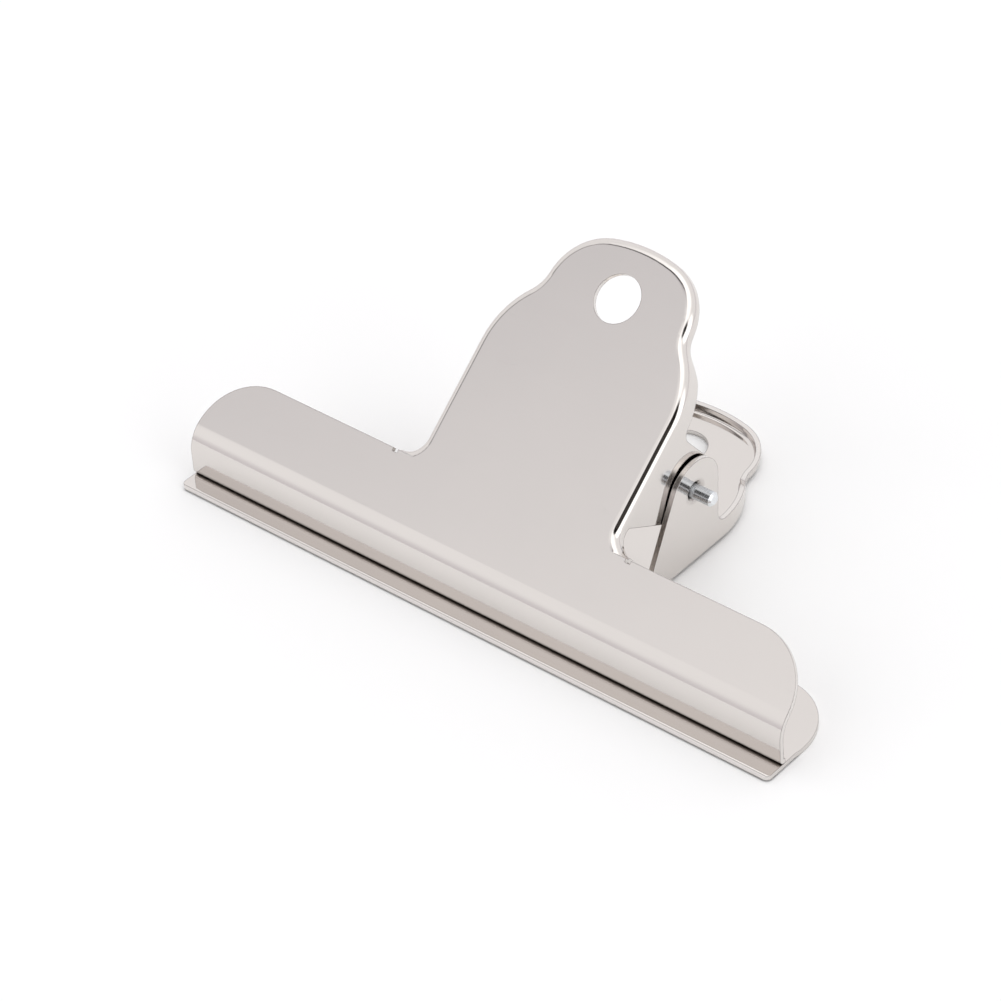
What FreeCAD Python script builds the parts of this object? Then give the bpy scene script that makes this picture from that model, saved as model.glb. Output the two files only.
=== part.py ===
import FreeCAD, Part
import math
import os
from FreeCAD import Placement, Rotation, Vector

# Large spring clip for sheets: two pressed jaw plates hinged on one pin and
# held shut by a torsion spring.  Millimetres.  The clip lies on the outer face
# of its back jaw.  Origin: on that face, directly under the middle of the pin.
# +X runs along the jaw, +Y towards the handles, +Z up out of the back jaw.
#
# Each jaw is drawn in its own frame: x across, y up the handle from the top
# edge of the wings, z inwards from the outer face of the sheet.

SIZES = [
    # sheet metal
    ("sheet", 1.0), ("bend_radius", 1.8),
    # jaw wings, seen from the front
    ("jaw_length", 145.5), ("wing_corner", 13.0), ("lip_corner", 1.2), ("root", 8.0),
    # handle outline: straight sides, shoulder, waist, round head
    ("half_width", 23.9), ("handle_height", 55.1), ("shoulder_height", 26.1),
    ("shoulder_radius", 19.4), ("waist_radius", 7.6), ("head_radius", 12.3),
    ("head_offset", 4.9), ("crown_radius", 34.2), ("flare_radius", 4.1), ("flare_foot", 0.5),
    ("hole_radius", 5.0), ("hole_height", 43.6), ("relief_width", 1.2), ("relief_depth", 0.7),
    # rim and ears, seen from the side
    ("rim_depth", 2.8), ("rim_start", 40.2), ("shoulder_depth", 5.4), ("shoulder_end", 36.0),
    ("rim_blend", 3.0), ("ear_radius", 7.0), ("ear_fillet", 2.5), ("ear_lean", 2.3),
    ("front_ear_foot", 4.3), ("back_ear_foot", 1.1),
    # hinge pin seen from each jaw: up the handle, and in from the outer face
    ("front_pin_height", 18.25), ("front_pin_depth", 17.0),
    ("back_pin_height", 17.2), ("back_pin_depth", 18.2),
    # front jaw: bent square to the back plate, small rounded foot on the back lip
    ("jaw_angle", 38.64), ("curve_line", 15.9), ("curve_radius", 7.0), ("curve_angle", 51.36),
    ("foot_radius", 1.2), ("foot_angle", 96.0), ("foot_end", 0.2), ("bite_gap", 0.03),
    # back jaw: flat plate with a slightly raised lip
    ("lip_step", 0.3), ("lip_step_start", 14.2), ("lip_step_end", 15.7), ("lip_edge", 23.9),
    ("lip_round", 0.7),
    # hinge pin and its bores
    ("pin_radius", 1.5), ("pin_length", 58.4), ("pin_chamfer", 0.45), ("bore_clearance", 0.05),
    ("bevel_radius", 2.35), ("bevel_depth", 0.6),
    # torsion spring
    ("wire_radius", 1.0), ("coil_radius", 4.5), ("coil_pitch", 2.08), ("coil_turns", 8.0),
    ("leg_reach", 18.0), ("leg_gap", 0.02),
]

doc = FreeCAD.newDocument("binder_clip")
sheet = doc.addObject("Spreadsheet::Sheet", "Sizes")
for row, (name, value) in enumerate(SIZES, start=1):
    sheet.set("A%d" % row, name)
    sheet.set("B%d" % row, str(value))
    sheet.setAlias("B%d" % row, name)
doc.recompute()


def size(name):
    return float(sheet.get(name))


def make(kind, name, **properties):
    """Add an object; string values of numeric properties become expressions."""
    obj = doc.addObject(kind, name)
    for prop, value in properties.items():
        if isinstance(value, str) and prop not in ("DirMode", "LocalCoord", "Mode", "Join"):
            obj.setExpression(prop, value)
        else:
            setattr(obj, prop, value)
    return obj


def feature(name, shape):
    """Outline that only arcs tangent to one another can describe."""
    obj = doc.addObject("Part::Feature", name)
    obj.Shape = shape
    return obj


def direction(degrees):
    return Vector(math.cos(math.radians(degrees)), math.sin(math.radians(degrees)), 0)


def arc_between(centre, start, end):
    """Shorter arc from start to end about a centre."""
    middle = (start - centre).normalize() + (end - centre).normalize()
    return Part.Arc(start, centre + middle.normalize() * (start - centre).Length, end).toShape()


def rounded(corners, closed=True):
    """Edges through (x, y, radius) corners, each corner rounded by its radius."""
    points = [Vector(x, y, 0) for x, y, _ in corners]
    count = len(points)
    arrive, leave, bends = [], [], []
    for i, (_, _, radius) in enumerate(corners):
        here, before, after = points[i], points[i - 1], points[(i + 1) % count]
        if radius <= 0 or (not closed and i in (0, count - 1)):
            arrive.append(here)
            leave.append(here)
            bends.append(None)
            continue
        into, out = (here - before).normalize(), (after - here).normalize()
        turn = into.getAngle(out)
        cut = radius * math.tan(turn / 2)
        inward = (out - into).normalize() * (radius / math.cos(turn / 2))
        arrive.append(here - into * cut)
        leave.append(here + out * cut)
        bends.append(here + inward)
    edges = []
    for i in range(count):
        if bends[i] is not None:
            edges.append(arc_between(bends[i], arrive[i], leave[i]))
        if i < count - 1 or closed:
            edges.append(Part.makeLine(leave[i], arrive[(i + 1) % count]))
    return edges


def ribbon(corners, thickness):
    """Face of a sheet profile: the outer corners and a parallel inner line."""
    points = [Vector(x, y, 0) for x, y, _ in corners]
    runs = [(b - a).normalize() for a, b in zip(points, points[1:])]
    normals = [Vector(run.y, -run.x, 0) for run in runs]
    inner = []
    for i, (_, _, radius) in enumerate(corners):
        first, second = normals[max(i - 1, 0)], normals[min(i, len(normals) - 1)]
        shift = (first + second) * (thickness / (1 + first.dot(second)))
        towards = runs[max(i - 1, 0)].cross(runs[min(i, len(runs) - 1)]).z < 0
        inside = radius - thickness if towards else radius + thickness
        point = points[i] + shift
        inner.append((point.x, point.y, max(inside, 0)))
    outer_edges = rounded(corners, closed=False)
    inner_edges = rounded(inner, closed=False)
    ends = [Part.makeLine(points[0], Vector(inner[0][0], inner[0][1], 0)),
            Part.makeLine(points[-1], Vector(inner[-1][0], inner[-1][1], 0))]
    return Part.Face(Part.Wire(Part.__sortEdges__(outer_edges + inner_edges + ends)))


def upright(name, face):
    """Turn an outline drawn as (y, z) so that it stands across the x axis."""
    obj = feature(name, face)
    obj.Placement = Placement(Vector(0, 0, 0),
                              Rotation(Vector(0, 1, 0), Vector(0, 0, 1), Vector(1, 0, 0), "ZXY"))
    return obj


# ---- outlines shared by both jaws ----

def handle_outline():
    """Handle seen from the front, from its root below the wing edge to the crown."""
    half, foot, flare = size("half_width"), size("flare_foot"), size("flare_radius")
    shoulder_r, waist_r = size("shoulder_radius"), size("waist_radius")
    head_r, crown_r = size("head_radius"), size("crown_radius")
    top, root = size("handle_height"), size("root")
    shoulder = Vector(half - shoulder_r, size("shoulder_height"), 0)
    crown = Vector(0, top - crown_r, 0)
    rise = math.sqrt((crown_r - head_r) ** 2 - size("head_offset") ** 2)
    head = Vector(size("head_offset"), crown.y + rise, 0)
    # waist centre: outside, touching both the shoulder and the head circle
    span = head - shoulder
    along = ((shoulder_r + waist_r) ** 2 - (waist_r + head_r) ** 2 + span.Length ** 2)
    along /= 2 * span.Length
    aside = math.sqrt((shoulder_r + waist_r) ** 2 - along ** 2)
    unit = Vector(span).normalize()
    waist = shoulder + unit * along + Vector(unit.y, -unit.x, 0) * aside
    flare_centre = Vector(half + flare, foot + flare, 0)

    side_start = Vector(half + flare, -root, 0)
    flare_start = Vector(half + flare, foot, 0)
    side = Vector(half, foot + flare, 0)
    shoulder_start = Vector(half, size("shoulder_height"), 0)
    shoulder_end = shoulder + (waist - shoulder).normalize() * shoulder_r
    waist_end = waist + (head - waist).normalize() * waist_r
    head_end = crown + (head - crown).normalize() * crown_r
    right = [Part.makeLine(side_start, flare_start),
             arc_between(flare_centre, flare_start, side),
             Part.makeLine(side, shoulder_start),
             arc_between(shoulder, shoulder_start, shoulder_end),
             arc_between(waist, shoulder_end, waist_end),
             arc_between(head, waist_end, head_end)]
    left = [edge.mirror(Vector(), Vector(1, 0, 0)) for edge in right]
    crown_arc = Part.Arc(head_end, Vector(0, top, 0), Vector(-head_end.x, head_end.y, 0))
    bottom = Part.makeLine(side_start, Vector(-side_start.x, -root, 0))
    wire = Part.Wire(Part.__sortEdges__(right + [crown_arc.toShape()] + left + [bottom]))
    return feature("handle_outline", Part.Face(wire))


def pin_centre(prefix):
    """Middle of the pin in a jaw's side view: (up the handle, in from the outer face)."""
    return Vector(size(prefix + "_pin_height"), size(prefix + "_pin_depth"), 0)


def side_profile(prefix):
    """Handle seen from the side: plate, ear round the pin, shoulder and shallow rim."""
    top, radius = size("handle_height") + 5, size("ear_radius")
    pin = pin_centre(prefix)
    foot = Vector(size(prefix + "_ear_foot"), 0, 0)
    back, rim, root_edge = pin.x + radius, size("rim_depth"), size("flare_foot") - size("sheet")
    # tangent from the foot of the ear to the round tip
    away = pin - foot
    swing = math.asin(radius / away.Length)
    heading = math.atan2(away.y, away.x) + swing
    run = Vector(math.cos(heading), math.sin(heading), 0)
    touch = foot + run * (away.Length * math.cos(swing))
    rim_meet = foot + run * (rim / run.y)
    tip_start = Vector(back, pin.y, 0)
    outline = rounded([(-size("root"), 0, 0), (top, 0, 0), (top, rim, 0),
                       (size("rim_start"), rim, size("rim_blend")),
                       (size("shoulder_end"), size("shoulder_depth"), size("rim_blend")),
                       (back, size("shoulder_depth"), size("ear_fillet")),
                       (tip_start.x, tip_start.y, 0)], closed=False)
    tip_top = pin + (touch - pin + tip_start - pin).normalize() * radius
    tip = Part.Arc(tip_start, tip_top, touch).toShape()
    lower = rounded([(touch.x, touch.y, 0), (rim_meet.x, rim_meet.y, 1.0), (root_edge, rim, 0),
                     (root_edge, size("sheet"), 0), (-size("root"), size("sheet"), 0),
                     (-size("root"), 0, 0)], closed=False)
    return upright(prefix + "_side_outline",
                   Part.Face(Part.Wire(Part.__sortEdges__(outline + [tip] + lower))))


def wing_plan(name, lower_edge, lower_corner):
    half = size("jaw_length") / 2
    corner = size("wing_corner")
    face = Part.Face(Part.Wire(rounded([(-half, lower_edge, lower_corner),
                                        (half, lower_edge, lower_corner),
                                        (half, 0, corner), (-half, 0, corner)])))
    return feature(name, face)


def front_wing_profile():
    """Straight down from the handle, bent inwards, rounded foot on the back lip."""
    jaw, bend, radius = size("jaw_angle"), size("curve_angle"), size("foot_radius")
    turn = math.radians(size("foot_angle"))
    corner = Vector(-size("curve_line"), 0, 0)
    run = direction(180 - bend)
    inward = Vector(-run.y, run.x, 0) * -1
    up = Vector(math.sin(math.radians(jaw)), -math.cos(math.radians(jaw)), 0)
    # heights above the outer face of the back jaw
    height = size("back_pin_depth") + (corner + inward * radius - pin_centre("front")).dot(up)
    target = size("sheet") + size("lip_step") + size("bite_gap") + radius
    length = (target - height) / run.dot(up)
    knee = corner + run * (length + radius * math.tan(turn / 2))
    last = direction(180 - bend - size("foot_angle"))
    end = knee + last * (radius * math.tan(turn / 2) + size("foot_end"))
    return ribbon([(0, 0, 0), (corner.x, corner.y, size("curve_radius")),
                   (knee.x, knee.y, radius), (end.x, end.y, 0)], size("sheet"))


def back_wing_profile():
    """Flat down to a lip that is raised by a shallow step and rounded at its inner edge."""
    step, thick = size("lip_step"), size("sheet")
    start, end, edge = -size("lip_step_start"), -size("lip_step_end"), -size("lip_edge")
    return Part.Face(Part.Wire(rounded([
        (0, 0, 0), (start, 0, 1.5), (end, step, 2.5), (edge, step, 0),
        (edge, step + thick, size("lip_round")), (end, step + thick, 1.5), (start, thick, 2.5),
        (0, thick, 0)])))


# ---- sheet-metal jaw ----

def base_edges(shape, height, lowest):
    """Numbers of the rim edges lying in the base plane, root edges left out."""
    numbers = []
    for number, edge in enumerate(shape.Edges, start=1):
        box = edge.BoundBox
        flat = abs(box.ZMin - height) < 1e-6 and abs(box.ZMax - height) < 1e-6
        straight_side = box.XLength < 1e-6 and box.YMin < lowest
        if flat and box.YMax > lowest and not straight_side:
            numbers.append(number)
    return numbers


def drawn_tray(prefix, outline, lean):
    """Handle plate with its rim turned inwards all round, walls leaning a little."""
    inner_outline = make("Part::Offset2D", prefix + "_inner_outline", Source=outline,
                         Value="-Sizes.sheet", Join="Intersection")
    inner_outline.Placement.Base = Vector(0, 0, size("sheet"))
    solids = []
    for name, base, start, radius in (
            ("outer", outline, 0.0, size("bend_radius")),
            ("inner", inner_outline, size("sheet"), size("bend_radius") - size("sheet"))):
        block = make("Part::Extrusion", "%s_%s_block" % (prefix, name), Base=base,
                     DirMode="Custom", Dir=Vector(0, 0, 1), Solid=True,
                     LengthFwd="Sizes.back_pin_depth + Sizes.ear_radius + 1",
                     TaperAngle="%d * Sizes.ear_lean" % lean)
        doc.recompute()
        bend = make("Part::Fillet", "%s_%s_bend" % (prefix, name), Base=block)
        edges = base_edges(block.Shape, start, -0.9)
        bend.Edges = [(number, radius, radius) for number in edges]
        solids.append(bend)
    return make("Part::Cut", prefix + "_tray", Base=solids[0], Tool=solids[1])


def crosswise(kind, prefix, name, start, **properties):
    """Round tool lying along the x axis through the pin centre of a jaw."""
    tool = make(kind, "%s_%s" % (prefix, name), **properties)
    pin = pin_centre(prefix)
    tool.Placement = Placement(Vector(start, pin.x, pin.y),
                               Rotation(Vector(0, 1, 0), 90 if start <= 0 else -90))
    return tool


def jaw(prefix, outline, lean, wing_profile, plan, bevelled):
    tray = drawn_tray(prefix, outline, lean)
    side = make("Part::Extrusion", prefix + "_side", Base=side_profile(prefix),
                DirMode="Custom", Dir=Vector(1, 0, 0), Solid=True, Symmetric=True,
                LengthFwd="Sizes.jaw_length")
    handle = make("Part::MultiCommon", prefix + "_handle", Shapes=[tray, side])
    strip = make("Part::Extrusion", prefix + "_strip", Base=upright(prefix + "_strip_outline",
                 wing_profile), DirMode="Custom", Dir=Vector(1, 0, 0), Solid=True,
                 Symmetric=True, LengthFwd="Sizes.jaw_length")
    cutter = make("Part::Extrusion", prefix + "_plan", Base=plan, DirMode="Custom",
                  Dir=Vector(0, 0, 1), Solid=True, Symmetric=True,
                  LengthFwd="4 * Sizes.back_pin_depth")
    wings = make("Part::MultiCommon", prefix + "_wings", Shapes=[strip, cutter])
    whole = make("Part::MultiFuse", prefix + "_whole", Shapes=[handle, wings], Refine=True)

    hole = make("Part::Cylinder", prefix + "_hanging_hole", Radius="Sizes.hole_radius",
                Height="4 * Sizes.sheet")
    hole.Placement.Base = Vector(0, size("hole_height"), -size("sheet"))
    tools = [hole]
    for side_name, sign in (("left", -1), ("right", 1)):
        relief = make("Part::Box", "%s_relief_%s" % (prefix, side_name),
                      Length="Sizes.relief_width", Width="4 * Sizes.relief_depth",
                      Height="3 * Sizes.sheet")
        edge = size("half_width") + size("flare_radius")
        left = edge if sign > 0 else -edge - size("relief_width")
        relief.Placement.Base = Vector(left, -size("relief_depth"), -size("sheet"))
        tools.append(relief)
    span = size("half_width") * 2 + 10
    tools.append(crosswise("Part::Cylinder", prefix, "bore", -span / 2,
                           Radius="Sizes.pin_radius + Sizes.bore_clearance",
                           Height="2 * Sizes.half_width + 10"))
    if bevelled:
        lean_out = math.tan(math.radians(size("ear_lean"))) * pin_centre(prefix).y
        reach = size("half_width") + lean_out
        for side_name, sign in (("left", -1), ("right", 1)):
            tools.append(crosswise(
                "Part::Cone", prefix, "bevel_" + side_name, sign * (reach + 0.15),
                Radius1="Sizes.bevel_radius + 0.15",
                Radius2="Sizes.pin_radius + Sizes.bore_clearance",
                Height="Sizes.bevel_depth + 0.15"))
    cutters = make("Part::MultiFuse", prefix + "_cutters", Shapes=tools)
    return make("Part::Cut", prefix + "_jaw", Base=whole, Tool=cutters)


def build_jaws():
    outline = handle_outline()
    front = jaw("front", outline, -1, front_wing_profile(),
                wing_plan("front_plan_outline", -2 * size("lip_edge"), 0), False)
    angle = math.radians(size("jaw_angle"))
    along = Vector(0, math.cos(angle), math.sin(angle))
    inward = Vector(0, math.sin(angle), -math.cos(angle))
    hinge = Vector(0, 0, size("back_pin_depth"))
    front.Placement = Placement(
        hinge - along * size("front_pin_height") - inward * size("front_pin_depth"),
        Rotation(Vector(-1, 0, 0), along, inward, "ZXY"))
    back = jaw("back", outline, 1, back_wing_profile(),
               wing_plan("back_plan_outline", -size("lip_edge"), size("lip_corner")), True)
    back.Placement = Placement(Vector(0, -size("back_pin_height"), 0), Rotation())
    return front, back


# ---- hinge pin ----

def build_pin():
    rod = make("Part::Cylinder", "pin_rod", Radius="Sizes.pin_radius", Height="Sizes.pin_length")
    doc.recompute()
    pin = make("Part::Chamfer", "pin", Base=rod)
    chamfer = size("pin_chamfer")
    pin.Edges = [(number, chamfer, chamfer) for number, edge in enumerate(rod.Shape.Edges, 1)
                 if edge.Closed and edge.BoundBox.ZLength < 1e-6]
    pin.Placement = Placement(Vector(-size("pin_length") / 2, 0, size("back_pin_depth")),
                              Rotation(Vector(0, 1, 0), 90))
    return pin


# ---- torsion spring ----

def build_spring():
    """Coil about the pin; both legs run on along the wire to the handle plates."""
    radius, pitch = size("coil_radius"), size("coil_pitch")
    slope = pitch / (2 * math.pi * radius)

    def leg_of(prefix):
        """(angle on the coil where the leg leaves, seen from its plate; leg length)"""
        drop = pin_centre(prefix).y - size("sheet") - size("leg_gap") - size("wire_radius")
        distance = math.hypot(size("leg_reach"), drop)
        angle = math.atan2(drop, size("leg_reach")) + math.acos(radius / distance)
        return math.degrees(angle), math.sqrt((distance ** 2 - radius ** 2) * (1 + slope ** 2))

    back_angle, back_length = leg_of("back")
    front_angle, front_length = leg_of("front")
    start, finish = -back_angle, size("jaw_angle") + front_angle
    turns = size("coil_turns") + (360 + start - finish) / 360
    half_coil = turns * pitch / 2

    def outward(degrees):
        return Vector(0, math.cos(math.radians(degrees)), math.sin(math.radians(degrees)))

    def heading(degrees):
        """Way the wire runs at an angle of the coil, winding clockwise towards +X."""
        across = outward(degrees).cross(Vector(1, 0, 0))
        return (across + Vector(slope, 0, 0)).normalize()

    axis = Vector(1, 0, 0)
    middle = Vector(0, 0, size("back_pin_depth"))
    coil_line = make("Part::Helix", "coil_line", Radius="Sizes.coil_radius",
                     Pitch="Sizes.coil_pitch", Height=half_coil * 2, LocalCoord="Left-handed")
    coil_line.Placement = Placement(middle - axis * half_coil,
                                    Rotation(outward(start), axis.cross(outward(start)), axis,
                                             "ZXY"))
    first = middle - axis * half_coil + outward(start) * radius
    last = middle + axis * half_coil + outward(finish) * radius
    section = make("Part::Circle", "wire_section", Radius="Sizes.wire_radius")
    section.Placement = Placement(first, Rotation(Vector(0, 0, 1), heading(start)))
    doc.recompute()
    coil = make("Part::Sweep", "coil", Sections=[section], Spine=(coil_line, []), Solid=True,
                Frenet=True)
    legs = []
    for name, root, way, length in (("back_leg", first, heading(start) * -1, back_length),
                                    ("front_leg", last, heading(finish), front_length)):
        leg = make("Part::Cylinder", name, Radius="Sizes.wire_radius", Height=length)
        leg.Placement = Placement(root, Rotation(Vector(0, 0, 1), way))
        legs.append(leg)
    return make("Part::MultiFuse", "spring", Shapes=[coil] + legs)


def export(parts):
    doc.recompute()
    for obj in doc.Objects:
        if "Invalid" in obj.State or "Error" in obj.State:
            raise RuntimeError("%s did not compute: %s" % (obj.Name, obj.State))
    os.makedirs("parts", exist_ok=True)
    for name, obj in parts.items():
        obj.Label = name
        if obj.Shape.isNull() or not obj.Shape.isValid():
            raise RuntimeError("%s has no valid shape" % name)
        obj.Shape.exportStep("parts/%s.step" % name)
        print(name, "solids", len(obj.Shape.Solids), "volume", round(obj.Shape.Volume, 1))


front_jaw, back_jaw = build_jaws()
export({"front_jaw": front_jaw, "back_jaw": back_jaw, "hinge_pin": build_pin(),
        "torsion_spring": build_spring()})
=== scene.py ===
import math

import bpy
from mathutils import Matrix, Vector
from mathutils.bvhtree import BVHTree


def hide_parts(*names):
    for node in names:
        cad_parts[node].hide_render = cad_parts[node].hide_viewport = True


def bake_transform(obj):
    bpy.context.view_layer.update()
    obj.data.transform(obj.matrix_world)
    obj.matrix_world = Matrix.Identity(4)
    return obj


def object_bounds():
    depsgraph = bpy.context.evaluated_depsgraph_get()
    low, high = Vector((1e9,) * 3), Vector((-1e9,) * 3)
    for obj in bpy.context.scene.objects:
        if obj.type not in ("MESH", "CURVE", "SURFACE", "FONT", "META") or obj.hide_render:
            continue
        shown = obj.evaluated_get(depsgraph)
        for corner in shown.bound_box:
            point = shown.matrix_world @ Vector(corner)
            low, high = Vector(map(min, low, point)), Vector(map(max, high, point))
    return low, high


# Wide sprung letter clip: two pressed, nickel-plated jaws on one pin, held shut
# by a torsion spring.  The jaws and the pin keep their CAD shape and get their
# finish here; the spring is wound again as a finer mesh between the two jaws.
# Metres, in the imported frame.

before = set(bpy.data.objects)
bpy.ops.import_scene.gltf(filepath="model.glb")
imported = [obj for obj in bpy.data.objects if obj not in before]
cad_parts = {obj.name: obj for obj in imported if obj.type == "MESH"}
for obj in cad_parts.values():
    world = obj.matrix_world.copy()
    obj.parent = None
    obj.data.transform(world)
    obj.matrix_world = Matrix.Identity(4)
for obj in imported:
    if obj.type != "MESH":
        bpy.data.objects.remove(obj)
cad_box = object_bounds()

MM = 0.001
SHEET = 1.0 * MM
PIN_HEIGHT = 18.2 * MM
PIN_RADIUS = 1.5 * MM
PIN_HALF_LENGTH = 29.2 * MM
EAR_INSIDE = 20 * MM    # no ear is nearer to the middle of the clip than this
JAW_ANGLE = 38.64

# spring: coil about the pin, both legs lying against the handle plates; the pin
# stands a little further from the back plate than from the front one
PLATE_TO_PIN = {"back": 18.2 * MM, "front": 17.0 * MM}
COIL_RADIUS = 4.5 * MM
COIL_PITCH = 2.08 * MM
COIL_TURNS = 8
WIRE_RADIUS = 1.0 * MM
LEG_REACH = 18.0 * MM
LEG_GAP = 0.02 * MM
WIRE_SIDES = 20
STEPS_PER_TURN = 56

# finish: rounding of sheared corners, width of the painted shade line along them,
# reach of the painted shade in narrow creases, height of the surface marks
CORNER_ROUND = 0.22 * MM
CORNER_SHADE_WIDTH = 0.34 * MM
CREASE_SHADE_REACH = 1.3 * MM
MARK_HEIGHT = 0.02 * MM


# ---- shader helpers ----

class Graph:
    """Adds and links shader nodes; any input may be a number, a tuple or a socket."""

    def __init__(self, tree):
        self.tree = tree
        tree.nodes.clear()

    def add(self, kind, **inputs):
        node = self.tree.nodes.new(kind)
        for key, value in inputs.items():
            self.put(node, key.replace("_", " "), value)
        return node

    def put(self, node, key, value):
        if isinstance(value, bpy.types.NodeSocket):
            self.tree.links.new(value, node.inputs[key])
        else:
            node.inputs[key].default_value = value

    def math(self, operation, a, b=0.0):
        node = self.tree.nodes.new("ShaderNodeMath")
        node.operation = operation
        self.put(node, 0, a)
        self.put(node, 1, b)
        return node.outputs[0]

    def ramp(self, value, low, high, out_low=0.0, out_high=1.0, smooth=True):
        node = self.tree.nodes.new("ShaderNodeMapRange")
        node.interpolation_type = "SMOOTHSTEP" if smooth else "LINEAR"
        for key, item in enumerate((value, low, high, out_low, out_high)):
            self.put(node, key, item)
        return node.outputs[0]

    def mix(self, share, a, b, blend="MIX"):
        node = self.tree.nodes.new("ShaderNodeMix")
        node.data_type, node.blend_type = "RGBA", blend
        self.put(node, 0, share)
        self.put(node, 6, a)
        self.put(node, 7, b)
        return node.outputs[2]

    def noise(self, vector, scale, detail=3.0, rough=0.55):
        node = self.add("ShaderNodeTexNoise", Vector=vector, Scale=scale, Detail=detail,
                        Roughness=rough)
        return node.outputs["Fac"]

    def stretched(self, vector, scale, turn=(0, 0, 0)):
        node = self.add("ShaderNodeMapping", Vector=vector, Rotation=turn, Scale=scale)
        return node.outputs["Vector"]

    def bump(self, height, strength, distance, normal=None):
        node = self.add("ShaderNodeBump", Strength=strength, Distance=distance, Height=height)
        if normal is not None:
            self.put(node, "Normal", normal)
        return node.outputs["Normal"]

    def parts(self, vector):
        node = self.add("ShaderNodeSeparateXYZ", Vector=vector)
        return node.outputs

    def dot(self, a, b):
        node = self.tree.nodes.new("ShaderNodeVectorMath")
        node.operation = "DOT_PRODUCT"
        self.put(node, 0, a)
        self.put(node, 1, b)
        return node.outputs["Value"]

    def bevel(self, radius):
        node = self.add("ShaderNodeBevel", Radius=radius)
        node.samples = 8
        return node.outputs["Normal"]

    def metal(self, tint, rough, normal):
        surface = self.add("ShaderNodeBsdfPrincipled", Metallic=1.0, Base_Color=tint,
                           Roughness=rough, Normal=normal)
        self.add("ShaderNodeOutputMaterial", Surface=surface.outputs[0])


def new_material(name):
    material = bpy.data.materials.new(name)
    material.use_nodes = True
    return material, Graph(material.node_tree)


# ---- finishes ----

def scratches(g, here, turn, scale, width):
    """Sparse hairlines: thin level lines of a noise pulled out in one direction."""
    field = g.noise(g.stretched(here, scale, turn), 1.0, 1.0, 0.4)
    line = g.math("ABSOLUTE", g.math("SUBTRACT", field, 0.5))
    return g.ramp(line, 0.0, width, 1.0, 0.0)


def nickel(name):
    """Bright nickel on rolled sheet: faint rolling grain, soft haze, hairlines, duller
    sheared edges, and rubbed rings where the ears bear on the pin; painted shade
    darkens the sharp corners and the narrow creases."""
    material, g = new_material(name)
    here = g.add("ShaderNodeTexCoord").outputs["Object"]
    x, y, z = g.parts(here)[:3]
    edge = g.add("ShaderNodeAttribute")
    edge.attribute_name = "cut_edge"
    cut = edge.outputs["Fac"]

    grain = g.noise(g.stretched(here, (45, 2400, 2400)), 1.0, 5.0, 0.65)
    cloud = g.noise(here, 42.0, 4.0, 0.6)
    fine = g.noise(here, 1100.0, 3.0, 0.6)
    hair = g.math("MAXIMUM",
                  scratches(g, here, (0.2, 0.1, 0.5), (30, 420, 420), 0.0035),
                  scratches(g, here, (0.1, 0.4, -0.9), (24, 380, 380), 0.003))
    patch = g.ramp(g.noise(here, 90.0, 2.0, 0.5), 0.52, 0.66)
    hair = g.math("MULTIPLY", hair, patch)

    # distance from the pin's axis, on the ears only
    off_axis = g.math("SQRT", g.math("ADD", g.math("POWER", y, 2.0),
                                     g.math("POWER", g.math("SUBTRACT", z, PIN_HEIGHT), 2.0)))
    on_ear = g.ramp(g.math("ABSOLUTE", x), EAR_INSIDE, EAR_INSIDE + 1.0 * MM)
    near_pin = g.ramp(off_axis, 1.6 * PIN_RADIUS, 2.1 * PIN_RADIUS, 1.0, 0.0)
    rub = g.math("MULTIPLY", on_ear, near_pin)
    ring = g.math("MULTIPLY", rub, g.noise(g.stretched(here, (900, 900, 900)), 1.0, 2.0, 0.5))

    tint = g.mix(cloud, (0.735, 0.698, 0.668, 1), (0.705, 0.672, 0.645, 1))
    tint = g.mix(g.math("MULTIPLY", grain, 0.10), tint, (0.60, 0.56, 0.53, 1))
    tint = g.mix(g.math("MULTIPLY", ring, 0.55), tint, (0.34, 0.31, 0.29, 1))
    tint = g.mix(g.math("MULTIPLY", cut, 0.35), tint, (0.80, 0.78, 0.76, 1))
    rough = g.ramp(g.math("ADD", g.math("MULTIPLY", cloud, 0.6), g.math("MULTIPLY", grain, 0.4)),
                   0.3, 0.7, 0.07, 0.12, False)
    rough = g.math("ADD", rough, g.math("MULTIPLY", hair, 0.10))
    rough = g.math("ADD", rough, g.math("MULTIPLY", rub, 0.12))
    rough = g.math("ADD", rough, g.math("MULTIPLY", cut, 0.16))

    # shear marks run through the thickness; they show on the cut edges only
    shear = g.math("MULTIPLY", cut, g.noise(g.stretched(here, (2600, 2600, 500)), 1.0, 2.0, 0.6))
    height = g.math("ADD", g.math("MULTIPLY", grain, 0.5), g.math("MULTIPLY", fine, 0.3))
    height = g.math("SUBTRACT", height, g.math("MULTIPLY", hair, 0.5))
    height = g.math("ADD", height, g.math("MULTIPLY", shear, 2.0))
    normal = g.bump(height, 0.12, MARK_HEIGHT, g.bevel(CORNER_ROUND))

    # painted shade: a dark line is painted into the colour along all sharp corners
    flat_normal = g.add("ShaderNodeNewGeometry").outputs["Normal"]
    corner = g.ramp(g.dot(g.bevel(CORNER_SHADE_WIDTH), flat_normal), 0.80, 0.98, 1.0, 0.0)
    tint = g.mix(g.math("MULTIPLY", corner, 0.65), tint, (0.12, 0.10, 0.095, 1))

    # painted shade: the colour is darkened in narrow creases found by ambient occlusion, as
    # where the lips meet
    nook = g.add("ShaderNodeAmbientOcclusion", Distance=CREASE_SHADE_REACH)
    nook.samples = 8
    crease_shade = g.ramp(nook.outputs["AO"], 0.25, 0.62, 1.0, 0.0)
    tint = g.mix(g.math("MULTIPLY", crease_shade, 0.85), tint, (0.07, 0.055, 0.045, 1))
    g.metal(tint, rough, normal)
    return material


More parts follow.
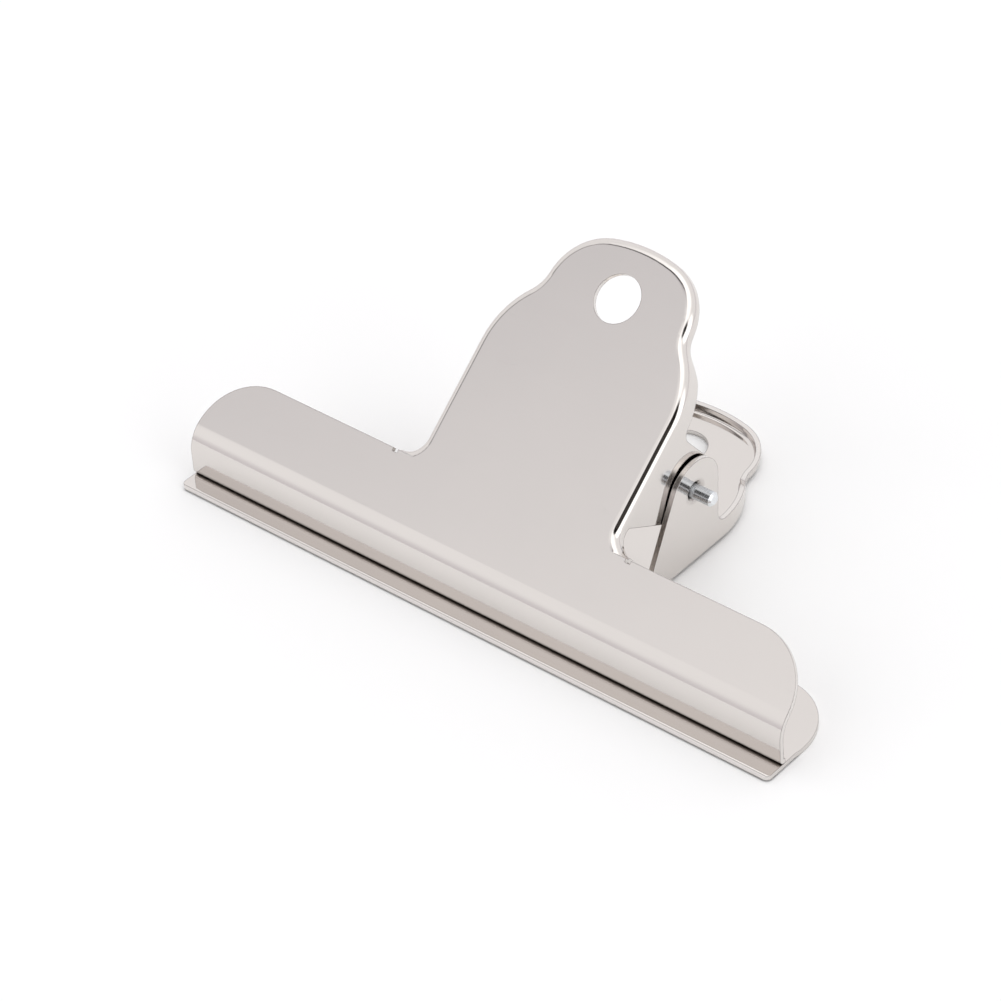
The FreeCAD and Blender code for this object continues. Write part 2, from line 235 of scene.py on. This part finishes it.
def zinc(name):
    """Satin zinc on a turned pin: rings round the rod, brighter bruised ends."""
    material, g = new_material(name)
    here = g.add("ShaderNodeTexCoord").outputs["Object"]
    x = g.parts(here)[0]
    rings = g.noise(g.stretched(here, (5200, 240, 240)), 1.0, 3.0, 0.5)
    cloud = g.noise(here, 700.0, 4.0, 0.6)
    end = g.ramp(g.math("ABSOLUTE", x), PIN_HALF_LENGTH - 0.7 * MM, PIN_HALF_LENGTH - 0.3 * MM)
    tint = g.mix(cloud, (0.60, 0.645, 0.69, 1), (0.69, 0.72, 0.75, 1))
    tint = g.mix(g.math("MULTIPLY", end, 0.7), tint, (0.86, 0.87, 0.88, 1))
    rough = g.ramp(rings, 0.3, 0.7, 0.20, 0.30, False)
    normal = g.bump(g.math("ADD", rings, g.math("MULTIPLY", cloud, 0.5)), 0.08, MARK_HEIGHT)
    g.metal(tint, rough, normal)
    return material


def drawn_wire(name):
    """Spring steel: lines left by the drawing die run along the wire."""
    material, g = new_material(name)
    uv = g.add("ShaderNodeTexCoord").outputs["UV"]
    lines = g.noise(g.stretched(uv, (0.6, 90, 1)), 1.0, 4.0, 0.65)
    cloud = g.noise(g.stretched(uv, (3.0, 4.0, 1)), 1.0, 4.0, 0.6)
    tint = g.mix(cloud, (0.40, 0.39, 0.39, 1), (0.56, 0.55, 0.55, 1))
    tint = g.mix(g.math("MULTIPLY", lines, 0.3), tint, (0.30, 0.29, 0.28, 1))
    rough = g.ramp(lines, 0.3, 0.7, 0.16, 0.30, False)
    normal = g.bump(lines, 0.2, MARK_HEIGHT)
    g.metal(tint, rough, normal)
    return material


def mark_cut_edges(obj):
    """Store per face whether it is a sheared edge: behind it there is more than the
    thickness of the sheet."""
    mesh = obj.data
    tree = BVHTree.FromPolygons([v.co for v in mesh.vertices],
                                [tuple(p.vertices) for p in mesh.polygons])
    values = []
    for face in mesh.polygons:
        start = face.center - face.normal * 0.02 * MM
        depth = tree.ray_cast(start, -face.normal)[3]
        values.append(0.0 if depth is not None and depth < 1.25 * SHEET else 1.0)
    attribute = mesh.attributes.new("cut_edge", "FLOAT", "FACE")
    attribute.data.foreach_set("value", values)


def finish_node(name, material):
    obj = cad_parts[name]
    obj.data.materials.clear()
    obj.data.materials.append(material)
    return obj


# ---- torsion spring ----

def spring_path():
    """Points along the wire from the tip of the back leg to the tip of the front leg."""
    turn = 2 * math.pi
    slope = COIL_PITCH / (turn * COIL_RADIUS)

    def leg_of(plate):
        """(angle on the coil where the leg leaves, seen from its plate; leg length)"""
        drop = PLATE_TO_PIN[plate] - SHEET - LEG_GAP - WIRE_RADIUS
        distance = math.hypot(LEG_REACH, drop)
        leaves = math.atan2(drop, LEG_REACH) + math.acos(COIL_RADIUS / distance)
        return leaves, math.sqrt((distance ** 2 - COIL_RADIUS ** 2) * (1 + slope ** 2))

    back_angle, back_leg = leg_of("back")
    front_angle, front_leg = leg_of("front")
    start, finish = -back_angle, math.radians(JAW_ANGLE) + front_angle
    angle = COIL_TURNS * turn + (turn + start - finish)
    half = angle / turn * COIL_PITCH / 2

    def heading(a):
        return Vector((slope, math.sin(a), -math.cos(a))).normalized()

    steps = int(angle / turn * STEPS_PER_TURN)
    points = []
    for i in range(steps + 1):
        a = start - angle * i / steps
        points.append(Vector((-half + 2 * half * i / steps, COIL_RADIUS * math.cos(a),
                              PIN_HEIGHT + COIL_RADIUS * math.sin(a))))

    def stations(leg):
        return [0.0, 0.12 * MM] + [leg * k / 12 for k in range(1, 12)]

    first, last = points[0], points[-1]
    back = [first - heading(start) * (back_leg - s) for s in stations(back_leg)]
    front = [last + heading(finish) * (front_leg - s) for s in reversed(stations(front_leg))]
    return back + points + front, half


def build_spring():
    path, half = spring_path()
    count, sides = len(path), WIRE_SIDES
    side = Vector((1, 0, 0))
    rings, runs, travelled = [], [], 0.0
    for i, point in enumerate(path):
        along = (path[min(i + 1, count - 1)] - path[max(i - 1, 0)]).normalized()
        side = (side - along * side.dot(along)).normalized()
        across = along.cross(side)
        radius = WIRE_RADIUS * (0.86 if i in (0, count - 1) else 1.0)
        travelled += (point - path[i - 1]).length if i else 0.0
        runs.append(travelled)
        for k in range(sides):
            a = 2 * math.pi * k / sides
            rings.append(point + (side * math.cos(a) + across * math.sin(a)) * radius)
    faces = [(i * sides + k, i * sides + (k + 1) % sides, (i + 1) * sides + (k + 1) % sides,
              (i + 1) * sides + k) for i in range(count - 1) for k in range(sides)]
    body = len(faces)
    faces.append(tuple(reversed(range(sides))))
    faces.append(tuple((count - 1) * sides + k for k in range(sides)))
    mesh = bpy.data.meshes.new("spring_wound")
    mesh.from_pydata(rings, [], faces)
    uv = mesh.uv_layers.new(name="wire")
    for number, face in enumerate(mesh.polygons):
        face.use_smooth = number < body
        for loop in face.loop_indices:
            vertex = mesh.loops[loop].vertex_index
            ring, k = divmod(vertex, sides)
            wrap = 1.0 if number < body and k == 0 and number % sides == sides - 1 else 0.0
            uv.data[loop].uv = (runs[ring] / MM, k / sides + wrap)
    mesh.update()
    obj = bpy.data.objects.new("spring_wound", mesh)
    bpy.context.scene.collection.objects.link(obj)
    mesh.materials.append(drawn_wire("spring_wire"))
    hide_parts("torsion_spring")
    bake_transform(obj)
    return obj


jaw_metal = nickel("nickel_plate")
for node in ("front_jaw", "back_jaw"):
    mark_cut_edges(finish_node(node, jaw_metal))
finish_node("hinge_pin", zinc("zinc_pin"))
build_spring()


# ---- studio ----

FLOOR_HALF = 6.0


def add_floor():
    half = FLOOR_HALF
    mesh = bpy.data.meshes.new("floor")
    mesh.from_pydata([(-half, -half, 0), (half, -half, 0), (half, half, 0), (-half, half, 0)],
                     [], [(0, 1, 2, 3)])
    floor = bpy.data.objects.new("floor", mesh)
    floor.location.z = cad_box[0].z
    bpy.context.scene.collection.objects.link(floor)
    material, g = new_material("floor_paper")
    here = g.add("ShaderNodeTexCoord").outputs["Object"]
    cloud = g.noise(here, 30.0, 4.0, 0.6)
    paper = g.add("ShaderNodeBsdfPrincipled", Roughness=0.9, Specular_IOR_Level=0.1,
                  Base_Color=g.mix(cloud, (0.955, 0.955, 0.955, 1), (0.965, 0.965, 0.965, 1)))
    g.add("ShaderNodeOutputMaterial", Surface=paper.outputs[0])
    mesh.materials.append(material)
    return floor


# Lights and screens of the studio, painted over one another on the sky:
# (direction, full inside, gone outside, colour), angles in degrees.
SCREENS = [
    # bright box low on the right: it whitens the bend of the handle
    ((0.93, -0.15, 0.33), 28, 36, (1.75, 1.75, 1.75)),
    # dark room behind the camera, with a paler middle
    ((0.531, -0.571, 0.626), 20, 27, (0.012, 0.010, 0.010)),
    ((0.531, -0.571, 0.626), 6, 14, (0.085, 0.075, 0.070)),
]
# lilac-grey scrim overhead to the left; it grows paler away from its seam, a dark
# strip across the sky that is blacker towards the top
SCRIM = (-0.65, -0.30, 0.70)
SEAM = (0.416, -0.908, -0.0465)


def add_world():
    world = bpy.data.worlds.new("studio")
    bpy.context.scene.world = world
    world.use_nodes = True
    g = Graph(world.node_tree)
    way = g.add("ShaderNodeTexCoord").outputs["Generated"]

    def towards(direction):
        return g.dot(way, Vector(direction).normalized())

    height = towards((0, 0, 1))
    wall = g.ramp(height, 0.02, 0.34)
    color = g.mix(wall, (0.80, 0.77, 0.80, 1), (1.03, 1.02, 1.03, 1))
    color = g.mix(g.ramp(height, 0.75, 1.0), color, (1.7, 1.7, 1.7, 1))

    def lobe(direction, inside, outside):
        return g.ramp(towards(direction), math.cos(math.radians(outside)),
                      math.cos(math.radians(inside)))

    off = towards(SEAM)
    scrim = g.mix(g.ramp(off, 0.04, 0.25, smooth=False), (0.60, 0.585, 0.62, 1),
                  (1.06, 1.05, 1.06, 1))
    share = g.math("MULTIPLY", lobe(SCRIM, 30, 42), g.ramp(off, -0.02, 0.03))
    color = g.mix(share, color, scrim)
    strip = g.ramp(g.math("ABSOLUTE", off), 0.031, 0.078, 1.0, 0.0)
    left = g.ramp(towards((-1, 0, 0)), 0.05, 0.30)
    depth = g.ramp(height, 0.45, 0.85, 0.45, 1.0)
    strip = g.math("MULTIPLY", g.math("MULTIPLY", strip, left), depth)
    color = g.mix(strip, color, (0.04, 0.035, 0.035, 1))
    for direction, inside, outside, paint in SCREENS:
        color = g.mix(lobe(direction, inside, outside), color, paint + (1,))
    sky = g.add("ShaderNodeBackground", Color=color, Strength=1.0)
    g.add("ShaderNodeOutputWorld", Surface=sky.outputs[0])


# camera: long lens above the right front of the clip
LENS, SENSOR = 163.64, 36.0
CAMERA_PLACE = (0.45287, -0.51494, 0.55653)
CAMERA_RIGHT = (0.76397, 0.6423, -0.06164)
CAMERA_UP = (-0.36686, 0.51096, 0.77739)


def add_camera():
    """Looks down on the clip from the right."""
    data = bpy.data.cameras.new("camera")
    data.sensor_width = SENSOR
    data.lens = LENS
    data.clip_start, data.clip_end = 0.05, 20.0
    camera = bpy.data.objects.new("camera", data)
    right = Vector(CAMERA_RIGHT).normalized()
    back = right.cross(Vector(CAMERA_UP)).normalized()
    up = back.cross(right)
    camera.matrix_world = Matrix([[right[i], up[i], back[i], CAMERA_PLACE[i]]
                                  for i in range(3)] + [[0, 0, 0, 1]])
    bpy.context.scene.collection.objects.link(camera)
    bpy.context.scene.camera = camera


add_floor()
add_world()
add_camera()
bpy.context.scene.view_settings.view_transform = "Standard"
